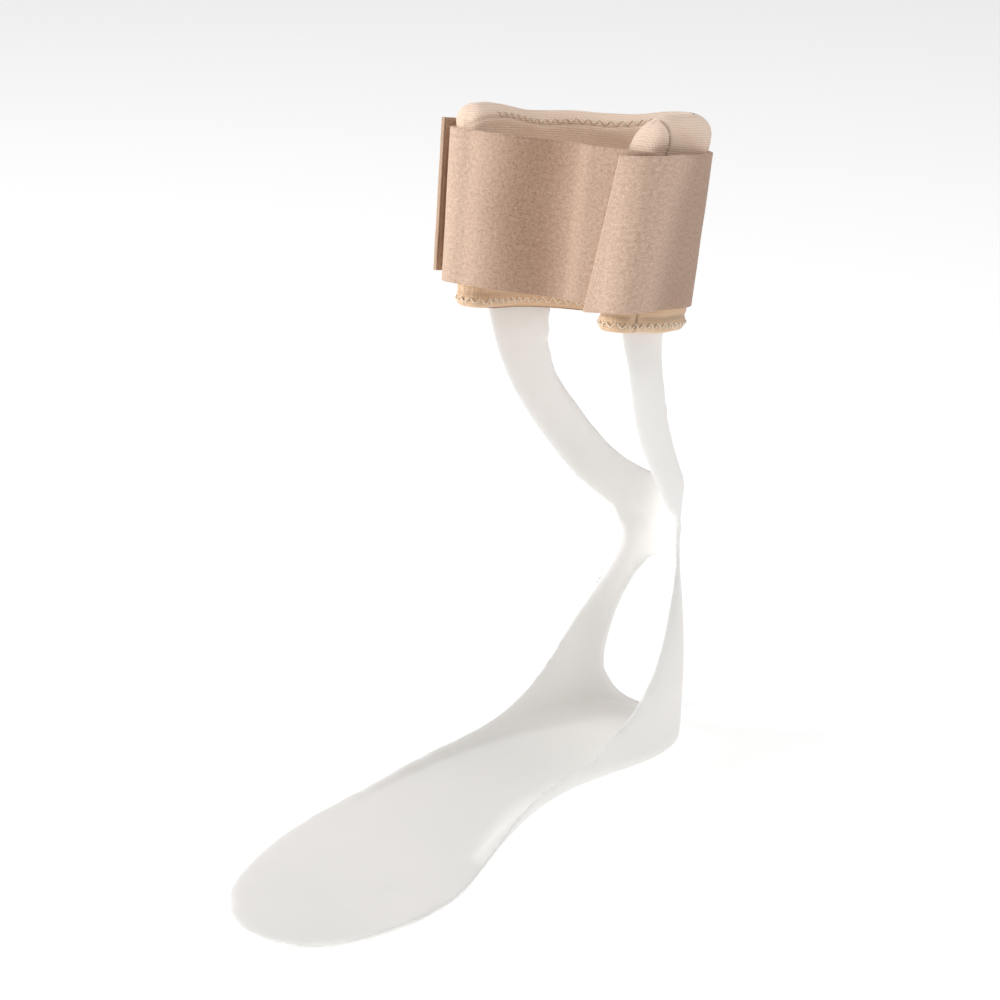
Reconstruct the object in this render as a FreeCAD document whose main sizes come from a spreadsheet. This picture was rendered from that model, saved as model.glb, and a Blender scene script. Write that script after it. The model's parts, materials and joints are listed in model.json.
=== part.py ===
import FreeCAD, Part
import math
import os

import Sketcher
from FreeCAD import Placement, Rotation, Vector

# Ankle foot orthosis for a right foot, in millimetres.
# Z points up, the toes point to -Y and the inner (medial) side of the foot is +X.
# The origin lies on the floor under the middle of the heel seat.

os.makedirs("parts", exist_ok=True)
doc = FreeCAD.newDocument("orthosis")

# ---------------------------------------------------------------- driving dimensions
sheet = doc.addObject("Spreadsheet::Sheet", "dims")
DIMS = [
    ("foot_length", "258"), ("heel_half", "31"), ("ball_inner", "48"), ("ball_outer", "43"),
    ("shell_wall", "3.2"), ("floor_wall", "3.2"),
    ("neck_height", "93"), ("neck_half", "22"), ("neck_bend_y", "28"), ("neck_cut_radius", "13"),
    ("window_top", "74"), ("window_half", "20.5"),
    ("cuff_x", "1"), ("cuff_y", "-26.2"), ("cuff_z", "193.6"), ("cuff_lean", "13.3"), ("cuff_roll", "3.6"),
    ("wing_toe_in", "6"),
    ("frame_outer", "36.5"), ("frame_wall", "3.2"), ("frame_top", "66"), ("bend_gap", "0.4"),
    ("slot_gap", "1"), ("slot_room", "3.5"), ("upright_front", "14"), ("upright_back", "19"),
    ("band_rise", "22"),
    ("pad_inner", "30"), ("pad_outer", "45.5"), ("pad_skin", "1.2"),
    ("medial_front", "19"), ("lateral_front", "31"), ("pad_bottom", "5"), ("pad_top", "87.5"),
    ("roll_height", "9"), ("roll_round", "5"),
    ("hem_height", "9"), ("hem_wall", "0.8"), ("stitch_width", "3"), ("stitch_wall", "0.5"),
    ("strap_wall", "1.8"), ("strap_bottom", "15"), ("strap_height", "62"), ("strap_gap", "0.3"),
    ("wrap_edge", "23"), ("wrap_slant", "9.5"), ("flap_lift", "3"), ("flap_length", "33"),
    ("flap_spread", "3"), ("hook_wall", "0.8"), ("hook_length", "12"),
    ("lining_outer", "=pad_inner + pad_skin"), ("cover_inner", "=pad_outer - pad_skin"),
    ("slot_inner", "=frame_outer - frame_wall - slot_gap"), ("slot_outer", "=frame_outer + slot_gap"),
    ("slot_front", "=upright_front + 1.5"), ("slot_height", "=frame_top + slot_room - pad_bottom"),
    ("roll_bottom", "=pad_top - roll_height"), ("body_height", "=roll_bottom - pad_bottom"),
    ("pad_height", "=pad_top - pad_bottom"), ("hem_outer", "=pad_outer + hem_wall"),
    ("hem_inner", "=pad_inner - hem_wall"), ("hem_row_outer", "=hem_outer + stitch_wall"),
    ("top_row_inner", "=pad_inner - stitch_wall"), ("hem_row_z", "=pad_bottom + 3"),
    ("top_row_z", "=roll_bottom - 4"), ("flap_bottom", "=strap_bottom + flap_lift"),
    ("seam_height", "=pad_top - roll_round - strap_bottom - strap_height - 1"),
]
for row, (alias, value) in enumerate(DIMS, start=1):
    sheet.set("A%d" % row, alias)
    sheet.set("B%d" % row, value)
    sheet.setAlias("B%d" % row, alias)
doc.recompute()
d = {alias: float(sheet.get(alias)) for alias, _ in DIMS}

lean, roll = math.radians(d["cuff_lean"]), math.radians(d["cuff_roll"])
toe_in = math.radians(d["wing_toe_in"])
cuff_y, cuff_z, neck_z = d["cuff_y"], d["cuff_z"], d["neck_height"]
leaned = Rotation(Vector(1, 0, 0), -d["cuff_lean"])
CUFF = Placement(Vector(d["cuff_x"], cuff_y, cuff_z), leaned * Rotation(Vector(0, 1, 0), -d["cuff_roll"]))
NODES = []


def keep(obj, name, placement=None):
    """Give a finished sub-part its label, place and entry in the export list."""
    obj.Label = name
    if placement is not None:
        obj.Placement = placement
    NODES.append((name, obj))
    return obj


# ---------------------------------------------------------------- the moulded shell
heel_y = d["foot_length"] * 0.12
toe_y = heel_y - d["foot_length"]


def ring(half, side_y, rear_y, foot=1.0, hollow=0.0):
    """Points of one closed level line: round at the back, foot shaped at the front.

    foot goes from 1 (outline of the foot plate) to 0 (plain sides that lean in a little);
    hollow pulls the inner edge of the waist in, for the raised arch.
    """
    back = [(half * math.sin(math.radians(a)), side_y + (rear_y - side_y) * math.cos(math.radians(a)))
            for a in (0, 22.5, 45, 67.5, 90)]

    def side_x(at_foot, distance):
        return foot * at_foot + (1 - foot) * (half - distance * math.tan(toe_in))

    front = [(side_x(31, 32) - 0.5 * hollow, side_y - 32), (side_x(29, 68) - hollow, side_y - 68),
             (39 - 0.5 * hollow, -118), (d["ball_inner"], -158), (44, -192), (26, toe_y + 6),
             (3, toe_y), (-20, toe_y + 13), (-35, -186), (-d["ball_outer"], -146), (-43, -110),
             (-side_x(41, 72), side_y - 72), (-side_x(36, 36), side_y - 36)]
    return back + front + [(-x, y) for x, y in reversed(back[1:])]


def inset(points, amount):
    """Move a closed point row inwards by the same distance everywhere."""
    moved = []
    count = len(points)
    for n, (x, y) in enumerate(points):
        ax, ay = points[n - 1]
        bx, by = points[(n + 1) % count]
        nx, ny = by - ay, ax - bx
        size = math.hypot(nx, ny)
        moved.append((x + amount * nx / size, y + amount * ny / size))
    return moved


def level_wire(points, height):
    """Closed smooth curve through the points at a height."""
    curve = Part.BSplineCurve()
    curve.interpolate([Vector(x, y, height) for x, y in points], PeriodicFlag=True)
    return Part.Wire([curve.toShape()])


def leaning(height):
    """Level line data of the leaning calf cylinder at a height."""
    middle = cuff_y + (height - cuff_z) * math.tan(lean)
    aside = d["cuff_x"] - (height - cuff_z) * math.tan(roll) / math.cos(lean)
    return (height, d["frame_outer"], middle, middle + d["frame_outer"] / math.cos(lean), 0.0, aside)


HALF = d["heel_half"]
# height, half width, y where the sides start to curve in, rear y, share of the foot outline, middle x
LEVELS = [
    (10, HALF, 4, heel_y + 1, 1.0, 0),
    (32, HALF, 5, heel_y + 2.5, 0.9, 0),
    (62, HALF - 4, 8, heel_y + 4.5, 0.5, 0),
    (neck_z, d["neck_half"], 10, heel_y + 7, 0.2, 0),
    (122, 27, 7, heel_y + 6, 0.0, 0),
    (148, 31.5, -6, heel_y - 1, 0.0, 0.3),
    (170, 35, -20, heel_y - 13, 0.0, 0.8),
    leaning(188), leaning(204), leaning(220), leaning(236), leaning(252), leaning(268),
]


def boot(offset, floor):
    """Solid filling of the shell, offset inwards from the outer face, from a floor height up."""
    wires = []
    for lift, pull, hollow in ((0, 2.0, 12), (1.0, 0.7, 9), (4.0, 0.0, 4)):
        wires.append(level_wire(inset(ring(HALF, 4, heel_y, 1.0, hollow), offset + pull), floor + lift))
    for height, half, side_y, rear_y, foot, aside in LEVELS:
        line = [(x + aside, y) for x, y in inset(ring(half, side_y, rear_y, foot), offset)]
        wires.append(level_wire(line, height))
    return Part.makeLoft(wires, True, False)


def side_prism(rows, start, length):
    """Solid with a side view outline; rows of two (y, z) points are straight, longer ones smooth."""
    edges = []
    for row in rows:
        points = [Vector(start, y, z) for y, z in row]
        if len(points) == 2:
            edges.append(Part.makeLine(points[0], points[1]))
        else:
            curve = Part.BSplineCurve()
            curve.interpolate(points)
            edges.append(curve.toShape())
    return Part.Face(Part.Wire(Part.__sortEdges__(edges))).extrude(Vector(length, 0, 0))


floor_t = d["floor_wall"]
wall = boot(0, 0).cut(boot(d["shell_wall"], floor_t))


def on_cuff(y, z):
    """Side view point (y, z) of a place given in the leaning axes of the cuff."""
    return (cuff_y + y * math.cos(lean) + z * math.sin(lean),
            cuff_z - y * math.sin(lean) + z * math.cos(lean))


# Trim lines seen from the side: front edge from the foot plate to the pad, the upper ends of the
# uprights with the band that joins them behind the calf, hidden in the pad, then the rear edge.
upright = [(24.5, neck_z + 2), (15, 105), (-2, 125), (-19, 149), (-31, 173), on_cuff(-d["upright_front"], 4)]
behind = d["upright_back"]
tops = [upright[-1], on_cuff(-d["upright_front"], d["frame_top"]), on_cuff(45, d["frame_top"]),
        on_cuff(45, d["band_rise"]), on_cuff(behind, d["band_rise"]), on_cuff(behind, 4)]
outer_side = [(-126, floor_t), (-95, 5), (-60, 7), (-32, 11), (-6, 25), (13, 46), (24, 66), (28, 82)]
inner_side = [(-128, floor_t), (-106, 9.5), (-85, 14.5), (-51, 19), (-22, 27), (0, 48), (14, 68), (25, 84)]
waist = [(32, 115), (39, 108), (60, 108)]
outer_rear = [tops[-1], (-6, 176), (3, 156), (14, 140), (24, 125), waist[0]]
inner_rear = [tops[-1], (-8, 178), (-1, 157), (8, 140), (19, 125), waist[0]]


def trim(front, rear, start, length):
    """Side view region of the moulding for one side of the leg."""
    corners = waist + [(60, -5), (toe_y - 5, -5), (toe_y - 5, floor_t), front[0]]
    straight = list(zip(tops, tops[1:])) + list(zip(corners, corners[1:]))
    return side_prism([front + upright, rear] + straight, start, length)


side = trim(outer_side, outer_rear, -80, 80).fuse(trim(inner_side, inner_rear, 0, 80))

# Egg shaped window behind the heel.
top = d["window_top"]
wide = d["window_half"]
egg = [(0, floor_t + 0.8), (wide * 0.62, 6.5), (wide * 0.97, 17), (wide * 0.96, 32), (wide * 0.72, 52),
       (wide * 0.40, 66), (0, top)]
egg += [(-x, z) for x, z in reversed(egg[1:-1])]
window = Part.BSplineCurve()
window.interpolate([Vector(x, 6, z) for x, z in egg], PeriodicFlag=True)
window = Part.Face(Part.Wire([window.toShape()])).extrude(Vector(0, 60, 0))

# The moulding bends at the neck; it is parted there on a cylinder about the bending line.
bend = Vector(-60, d["neck_bend_y"], neck_z)
above = Part.makeBox(200, 300, 300, Vector(-100, -200, neck_z + 0.05))
knuckle = Part.makeCylinder(d["neck_cut_radius"], 120, bend, Vector(1, 0, 0))
socket = Part.makeCylinder(d["neck_cut_radius"] + d["bend_gap"], 120, bend, Vector(1, 0, 0))
lower_half = wall.common(side.cut(window).cut(above.fuse(socket)))
upper_half = wall.common(side.common(above.fuse(knuckle)))
for name, shape in (("foot_shell", lower_half), ("calf_frame", upper_half)):
    half = doc.addObject("Part::Feature", name)
    half.Shape = max(shape.Solids, key=lambda solid: solid.Volume)
    keep(half, name)


# ---------------------------------------------------------------- pad, seams and strap
def plane(body, role):
    """Origin plane of a body by its role."""
    return [f for f in body.Origin.OriginFeatures if f.Role == role][0]


def add_sketch(body, name, role, lift, draw):
    """Sketch on an origin plane of the body, lifted by a sheet expression."""
    sketch = body.newObject("Sketcher::SketchObject", name)
    sketch.AttachmentSupport = [(plane(body, role), "")]
    sketch.MapMode = "FlatFace"
    if lift:
        sketch.setExpression("AttachmentOffset.Base.z", lift)
    draw(sketch)
    return sketch


def extruded(name, draw, bottom, height, rounded=None):
    """Body of one level outline padded upwards; rounded = (expression, edge test)."""
    body = doc.addObject("PartDesign::Body", name)
    pad = body.newObject("PartDesign::Pad", name + "_pad")
    pad.Profile = add_sketch(body, name + "_outline", "XY_Plane", bottom, draw)
    pad.setExpression("Length", height)
    body.Tip = pad
    doc.recompute()
    if rounded:
        size, wanted = rounded
        names = ["Edge%d" % n for n, edge in enumerate(pad.Shape.Edges, start=1) if wanted(edge)]
        rounding = body.newObject("PartDesign::Fillet", name + "_rounding")
        rounding.Base = (pad, names)
        rounding.setExpression("Radius", size)
        body.Tip = rounding
        doc.recompute()
    return keep(body, name, CUFF)


def u_ring(r_in, r_out, fronts=("medial_front", "lateral_front"), turn=toe_in):
    """Outline maker: a U between two sheet radii, closed at a sheet distance in front on each side.

    The two legs of the U lean together by the angle turn.
    """
    def draw(sketch):
        sides = []
        for name in (r_in, r_out):
            r = d[name]
            cx, cy = r * math.cos(turn), -r * math.sin(turn)
            circle = Part.Circle(Vector(0, 0, 0), Vector(0, 0, 1), r)
            arc = sketch.addGeometry(Part.ArcOfCircle(circle, -turn, math.pi + turn), False)
            sketch.addConstraint(Sketcher.Constraint("Coincident", arc, 3, -1, 1))
            limit = sketch.addConstraint(Sketcher.Constraint("Radius", arc, r))
            sketch.setExpression("Constraints[%d]" % limit, "dims." + name)
            pair = []
            for n, s in enumerate((1, -1)):
                f = d[fronts[n]]
                end = Vector(s * (cx - (f + cy) * math.tan(turn)), -f, 0)
                line = sketch.addGeometry(Part.LineSegment(Vector(s * cx, cy, 0), end), False)
                sketch.addConstraint(Sketcher.Constraint("Tangent", arc, n + 1, line, 1))
                pair.append((line, end))
            sides.append(pair)
        for n in (0, 1):
            end = sketch.addGeometry(Part.LineSegment(sides[0][n][1], sides[1][n][1]), False)
            for k in (0, 1):
                sketch.addConstraint(Sketcher.Constraint("Coincident", sides[k][n][0], 2, end, k + 1))
    return draw


def outline(rows):
    """Outline maker for a closed row of pieces.

    ("line", (x, y), (x, y)) is straight; ("arc", centre, radius, from, to) runs between degrees.
    """
    def draw(sketch):
        for row in rows:
            if row[0] == "line":
                (ax, ay), (bx, by) = row[1:]
                sketch.addGeometry(Part.LineSegment(Vector(ax, ay, 0), Vector(bx, by, 0)), False)
            else:
                (cx, cy), r, start, stop = row[1:]
                circle = Part.Circle(Vector(cx, cy, 0), Vector(0, 0, 1), r)
                sketch.addGeometry(Part.ArcOfCircle(circle, math.radians(start), math.radians(stop)), False)
    return draw


def polygon(points):
    """Outline rows of a closed polygon."""
    return [("line", a, b) for a, b in zip(points, points[1:] + points[:1])]


def on_circle(centre, radius, degrees):
    """Point of a circle at an angle."""
    a = math.radians(degrees)
    return (centre[0] + radius * math.cos(a), centre[1] + radius * math.sin(a))


def ribbon(arcs, wall_t, tail=0.0):
    """Outline rows of a strap of even thickness laid over circles.

    arcs are (centre, inner radius, from, to) in path order with equal angles where they join;
    a straight piece joins neighbours, and tail adds a straight piece after the last arc.
    """
    rows, ends = [], []
    for extra in (0.0, wall_t):
        here = None
        for centre, radius, start, stop in arcs:
            r = radius + extra
            first = on_circle(centre, r, start)
            if here is None:
                begin = first
            elif math.hypot(first[0] - here[0], first[1] - here[1]) > 0.01:
                rows.append(("line", here, first))
            rows.append(("arc", centre, r, min(start, stop), max(start, stop)))
            here = on_circle(centre, r, stop)
        if tail:
            turn = 90 if arcs[-1][3] > arcs[-1][2] else -90
            after = on_circle(here, tail, arcs[-1][3] + turn)
            rows.append(("line", here, after))
            here = after
        ends.append((begin, here))
    rows.append(("line", ends[0][0], ends[1][0]))
    rows.append(("line", ends[0][1], ends[1][1]))
    return rows


# Soft layers of the pad: foam with the pocket for the frame, lining inside, cover outside.
foam = extruded("pad_foam", u_ring("lining_outer", "cover_inner"), "dims.pad_bottom", "dims.body_height")
solid_volume = foam.Shape.Volume
pocket = foam.newObject("PartDesign::Pocket", "pad_foam_pocket")
pocket.Profile = add_sketch(foam, "pad_foam_slot", "XY_Plane", "dims.pad_bottom",
                            u_ring("slot_inner", "slot_outer", ("slot_front", "slot_front"), 0.0))
pocket.setExpression("Length", "dims.slot_height")
pocket.Reversed = True
foam.Tip = pocket
doc.recompute()
if not foam.Shape.Volume < 0.95 * solid_volume:
    raise RuntimeError("the pocket for the frame is missing")

extruded("pad_lining", u_ring("pad_inner", "lining_outer"), "dims.pad_bottom", "dims.body_height")
extruded("pad_cover", u_ring("cover_inner", "pad_outer"), "dims.pad_bottom", "dims.body_height")
extruded("pad_hem_outer", u_ring("pad_outer", "hem_outer"), "dims.pad_bottom", "dims.hem_height")
extruded("pad_hem_inner", u_ring("hem_inner", "pad_inner"), "dims.pad_bottom", "dims.hem_height")
extruded("hem_stitches", u_ring("hem_outer", "hem_row_outer"), "dims.hem_row_z", "dims.stitch_width")
extruded("top_stitches", u_ring("top_row_inner", "pad_inner"), "dims.top_row_z", "dims.stitch_width")


def long_top_edge(edge):
    """True for the long edges that run round the top face."""
    box = edge.BoundBox
    return box.ZMin > d["pad_top"] - 0.01 and box.YMax - box.YMin > 12


extruded("pad_top_roll", u_ring("pad_inner", "pad_outer"), "dims.roll_bottom", "dims.roll_height",
         ("dims.roll_round", long_top_edge))

# Rounded wing ends close the front of the pad on both sides, each with its sewn seam.
half_t = (d["pad_outer"] - d["pad_inner"]) / 2 / math.cos(toe_in)
middle_r = (d["pad_outer"] + d["pad_inner"]) / 2


def wing_centre(side_name, s):
    """Middle of the pad's end face on one side."""
    front = d[side_name + "_front"]
    x = middle_r * math.cos(toe_in) - (front - middle_r * math.sin(toe_in)) * math.tan(toe_in)
    return (s * x, -front)


def wing_top(edge):
    """True for the round top edge of a wing end."""
    return edge.BoundBox.ZMin > d["pad_top"] - 0.01 and edge.BoundBox.YMax - edge.BoundBox.YMin > 1


inner_c, outer_c = wing_centre("medial", 1), wing_centre("lateral", -1)
for name, centre in (("medial", inner_c), ("lateral", outer_c)):
    end = [("arc", centre, half_t, 180, 360),
           ("line", (centre[0] - half_t, centre[1]), (centre[0] + half_t, centre[1]))]
    extruded(name + "_wing_end", outline(end), "dims.pad_bottom", "dims.pad_height",
             ("dims.roll_round", wing_top))
    extruded(name + "_wing_seam", outline(ribbon([(centre, half_t, 263, 277)], d["stitch_wall"])),
             "dims.strap_bottom + dims.strap_height + 0.5", "dims.seam_height")

# Wide strap. The front band crosses the opening and turns round the lateral wing; its other end is
# held under the wrap, the front end of the belt that runs round the back of the pad.
gap = d["strap_gap"]
web = d["strap_wall"]
band_r = half_t + gap
slope = math.degrees(math.atan2(inner_c[1] - outer_c[1], inner_c[0] - outer_c[0]))
line_low, line_high = d["wrap_edge"], d["wrap_edge"] + d["wrap_slant"]
low_z, high_z = d["strap_bottom"], d["strap_bottom"] + d["strap_height"]


def slanted(body, name, keep_side, shift):
    """Cut the front of a strap body along the slanted edge line and keep one side of it."""
    before = body.Shape.Volume
    rise = (line_high - line_low) / (high_z - low_z)
    cut = body.newObject("PartDesign::Pocket", name + "_edge_cut")
    base = line_low + shift
    far = -keep_side * 70
    corners = [(base - 5 * rise, low_z - 5), (base + (high_z - low_z + 5) * rise, high_z + 5),
               (far, high_z + 5), (far, low_z - 5)]
    cut.Profile = add_sketch(body, name + "_edge", "XZ_Plane", None, outline(polygon(corners)))
    cut.Length = 80
    cut.Reversed = True
    body.Tip = cut
    doc.recompute()
    if not 0.2 * before < body.Shape.Volume < before:
        raise RuntimeError(name + " edge cut went wrong")


wrap_r = band_r + web + d["hook_wall"]
reach = math.hypot(*inner_c)
wrap_turn = math.degrees(math.atan2(inner_c[1], inner_c[0]) + math.acos((d["pad_outer"] - wrap_r) / reach))
belt = extruded("strap_belt", outline(ribbon([((0, 0), d["pad_outer"], 180, wrap_turn),
                                               (inner_c, wrap_r, wrap_turn, slope - 90)], web, 24)),
                "dims.strap_bottom", "dims.strap_height")
slanted(belt, "strap_belt", 1, 0.8)
extruded("belt_stitches", outline(ribbon([((0, 0), d["pad_outer"] + web, 88, 92)], d["stitch_wall"])),
         "dims.strap_bottom + 4", "dims.strap_height - 8")
under_wrap = (inner_c, band_r, -d["wing_toe_in"], slope - 90)
anchor = extruded("strap_anchor", outline(ribbon([under_wrap], web, 24)),
                  "dims.strap_bottom", "dims.strap_height")
slanted(anchor, "strap_anchor", 1, 0.8)
round_wing = (outer_c, band_r, 180 + d["wing_toe_in"], 270 + slope)
band = extruded("strap_band", outline(ribbon([round_wing], web, 74)),
                "dims.strap_bottom", "dims.strap_height")
slanted(band, "strap_band", -1, 0.0)
under_end = (inner_c, band_r + web, slope - 50, slope - 88)
extruded("wrap_hook_patch", outline(ribbon([under_end], d["hook_wall"])),
         "dims.strap_bottom + 4", "dims.strap_height - 8")

# Pull flap on the lateral side: the other end of the belt, standing a little off the band.
root_x = -(d["pad_outer"] + web)
root_y = -d["bend_gap"] - 0.4
tip_y = root_y - d["flap_length"]


def flap_x(y, depth):
    """x of the flap at a y, measured inwards from its outer face."""
    return root_x - d["flap_spread"] * (root_y - y) / d["flap_length"] + depth


flap = [(flap_x(root_y, 0), root_y), (flap_x(tip_y, 0), tip_y), (flap_x(tip_y, web), tip_y),
        (flap_x(root_y, web - gap), root_y)]
extruded("strap_flap", outline(polygon(flap)), "dims.flap_bottom", "dims.strap_height")
hook_top, hook_end = tip_y + d["hook_length"] + 1, tip_y + 1
face = web + d["hook_wall"]
corners = ((hook_top, web), (hook_end, web), (hook_end, face), (hook_top, face))
patch = [(flap_x(y, depth), y) for y, depth in corners]
extruded("flap_hook_patch", outline(polygon(patch)), "dims.flap_bottom + 3", "dims.strap_height - 6")

# ---------------------------------------------------------------- checks and export
doc.recompute()
for name, obj in NODES:
    shape = obj.Shape
    bad = [word for word in obj.State if word in ("Invalid", "Error")]
    if bad or shape.isNull() or not shape.isValid():
        raise RuntimeError("%s is not sound: %s" % (name, bad))
    shape.exportStep(os.path.join("parts", name + ".step"))
    box = shape.BoundBox
    print("%-18s %9.1f mm3  %s" % (name, shape.Volume, [round(v, 1) for v in (
        box.XMin, box.YMin, box.ZMin, box.XMax, box.YMax, box.ZMax)]))
print("wrote", len(NODES), "parts")
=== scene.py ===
# %% [markdown]
# # Ankle foot orthosis
# A springy plastic moulding holds the foot and the back of the leg. A soft cuff slides over its two
# uprights, and a wide strap of brushed laminate closes the cuff round the calf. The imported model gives
# the sizes and the moving bodies; every cell below dresses one of its parts as the real thing looks.

# %% Load the frame
import json
import math

import bmesh
import bpy
import numpy as np
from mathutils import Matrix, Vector, noise


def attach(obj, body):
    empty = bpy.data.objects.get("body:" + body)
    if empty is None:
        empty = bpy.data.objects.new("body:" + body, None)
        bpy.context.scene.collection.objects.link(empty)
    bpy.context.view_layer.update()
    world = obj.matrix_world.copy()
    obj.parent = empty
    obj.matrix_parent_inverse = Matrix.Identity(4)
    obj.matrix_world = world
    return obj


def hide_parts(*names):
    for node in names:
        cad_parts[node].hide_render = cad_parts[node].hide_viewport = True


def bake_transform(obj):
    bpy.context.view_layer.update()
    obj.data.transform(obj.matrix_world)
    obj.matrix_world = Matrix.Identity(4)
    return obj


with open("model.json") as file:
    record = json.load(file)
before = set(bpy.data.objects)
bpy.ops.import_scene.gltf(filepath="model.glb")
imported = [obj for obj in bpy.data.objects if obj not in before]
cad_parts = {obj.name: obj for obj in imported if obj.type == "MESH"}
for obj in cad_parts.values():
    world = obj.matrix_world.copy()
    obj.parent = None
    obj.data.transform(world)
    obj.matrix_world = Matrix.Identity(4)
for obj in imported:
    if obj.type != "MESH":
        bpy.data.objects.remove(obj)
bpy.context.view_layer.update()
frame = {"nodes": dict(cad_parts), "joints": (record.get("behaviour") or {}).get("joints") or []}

nodes = frame["nodes"]

# %% [markdown]
# The cuff leans forward and a little to the outer side, so its parts are easier to describe in its
# own axes: x across the leg, y towards the back, z along the leg. Sizes are in millimetres there, and
# one function turns a point into the model's metres. Soft foam follows the calf, which widens
# upwards, so the function also opens the cuff slightly towards its top.

# %% The cuff's own axes
LEAN, ROLL = math.radians(13.3), math.radians(3.6)
CUFF_AT = Vector((0.001, -0.0262, 0.1936))
CUFF_SIDE = Vector((math.cos(ROLL), math.sin(ROLL) * math.sin(LEAN), math.sin(ROLL) * math.cos(LEAN)))
CUFF_BACK = Vector((0, math.cos(LEAN), -math.sin(LEAN)))
CUFF_UP = CUFF_SIDE.cross(CUFF_BACK)


def cuff(x, y, z):
    """A point of the cuff, from its own axes in millimetres to the model's metres."""
    x, y, z = float(x), float(y), float(z)
    open_up = 1 + 0.0007 * (z - 40)
    return CUFF_AT + (x * open_up * CUFF_SIDE + y * open_up * CUFF_BACK + z * CUFF_UP) / 1000


def smooth(t):
    """0 below 0, 1 above 1, and an even S between."""
    t = min(max(t, 0.0), 1.0)
    return t * t * (3 - 2 * t)


def srgb(r, g, b):
    """A colour from screen values 0 to 255 to the linear values that shaders use."""
    linear = [v / 255 / 12.92 if v <= 10 else ((v / 255 + 0.055) / 1.055) ** 2.4 for v in (r, g, b)]
    return (*linear, 1)


print("cuff centre, 50 mm up:", [round(v, 4) for v in cuff(0, 0, 50)])

# %% [markdown]
# Every finish is a node material. Written node by node, the maths of a pattern is hard to read, so a
# small class wraps a socket and lets it be added and multiplied like a number. One method makes any
# other node: its settings first, then what goes into its sockets.

# %% Shader maths
class Value:
    """A node's output that can be used in a sum."""

    def __init__(self, finish, socket):
        self.finish, self.socket = finish, socket

    def maths(self, operation, first, second):
        return self.finish.node("ShaderNodeMath", {"operation": operation}, {0: first, 1: second})

    def __add__(self, other):
        return self.maths("ADD", self, other)

    def __sub__(self, other):
        return self.maths("SUBTRACT", self, other)

    def __rsub__(self, other):
        return self.maths("SUBTRACT", other, self)

    def __mul__(self, other):
        return self.maths("MULTIPLY", self, other)

    __radd__, __rmul__ = __add__, __mul__


class Finish:
    """A material in the making."""

    def __init__(self, name):
        self.material = bpy.data.materials.new(name)
        self.material.use_nodes = True
        self.tree = self.material.node_tree
        self.tree.nodes.clear()
        self.base = self.tree.nodes.new("ShaderNodeBsdfPrincipled")
        end = self.tree.nodes.new("ShaderNodeOutputMaterial")
        self.tree.links.new(self.base.outputs[0], end.inputs[0])

    def put(self, socket, what):
        if isinstance(what, Value):
            self.tree.links.new(what.socket, socket)
        else:
            socket.default_value = what

    def node(self, kind, settings=None, values=None, out=0):
        made = self.tree.nodes.new(kind)
        for name, setting in (settings or {}).items():
            setattr(made, name, setting)
        for name, what in (values or {}).items():
            self.put(made.inputs[name], what)
        return Value(self, made.outputs[out])

    def noise(self, where, scale, detail=2.0, rough=0.5):
        return self.node("ShaderNodeTexNoise", None,
                         {"Vector": where, "Scale": scale, "Detail": detail, "Roughness": rough})

    def mix(self, share, first, second):
        return self.node("ShaderNodeMix", {"data_type": "RGBA"}, {0: share, 6: first, 7: second}, 2)

    def span(self, value, low, high, to_low=0.0, to_high=1.0):
        """The value, moved from one range to another and kept inside it."""
        return self.node("ShaderNodeMapRange", None, {"Value": value, "From Min": low, "From Max": high,
                                                      "To Min": to_low, "To Max": to_high})

    def attribute(self, name):
        return self.node("ShaderNodeAttribute", {"attribute_name": name}, None, "Fac")

    def bump(self, height, depth, strength):
        return self.node("ShaderNodeBump", None, {"Height": height, "Distance": depth, "Strength": strength})

    def finish(self, **sockets):
        for name, what in sockets.items():
            self.put(self.base.inputs[name.replace("_", " ")], what)
        return self.material


# %% [markdown]
# ## Finishes
# The moulding is polypropylene a few millimetres thick: milky, a little see-through at its rims and
# satin rather than shiny, with the faint draw marks that a hot sheet gets on its form. Light goes a
# little way into it, so it gets some subsurface scattering, and the sawn and flamed rim is paler.

# %% Milky plastic of the moulding
plastic = Finish("milky_plastic")
at = plastic.node("ShaderNodeTexCoord", None, None, "Object")
cloud = plastic.noise(at, 9.0, 3.0)
grain = plastic.noise(at, 900.0, 2.0)
draw_marks = plastic.noise(plastic.node("ShaderNodeVectorMath", {"operation": "MULTIPLY"},
                                        {0: at, 1: (260, 260, 14)}), 1.0, 2.0)
scuff = plastic.span(plastic.noise(at, 45.0, 6.0, 0.7), 0.60, 0.72)
rim = plastic.attribute("rim")
body = plastic.mix(plastic.span(cloud, 0.35, 0.65), srgb(243, 240, 237), srgb(236, 235, 232))
body = plastic.mix(rim * 0.8, body, srgb(251, 250, 248))
# A faint emission makes the moulding glow a little: painted light standing in for light carried through the
# milky plastic.
milky_plastic = plastic.finish(
    Base_Color=plastic.mix(scuff * 0.25, body, srgb(228, 227, 224)),
    Roughness=plastic.span(cloud + 0.35 * scuff + 0.3 * rim, 0.3, 1.1, 0.36, 0.58),
    Normal=plastic.bump(draw_marks + 0.35 * grain, 0.00005, 0.5),
    Subsurface_Weight=0.22, Subsurface_Radius=(1.0, 0.96, 0.9), Subsurface_Scale=0.004, IOR=1.49,
    Emission_Color=srgb(250, 246, 242), Emission_Strength=0.05)
print("made", milky_plastic.name)
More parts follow.
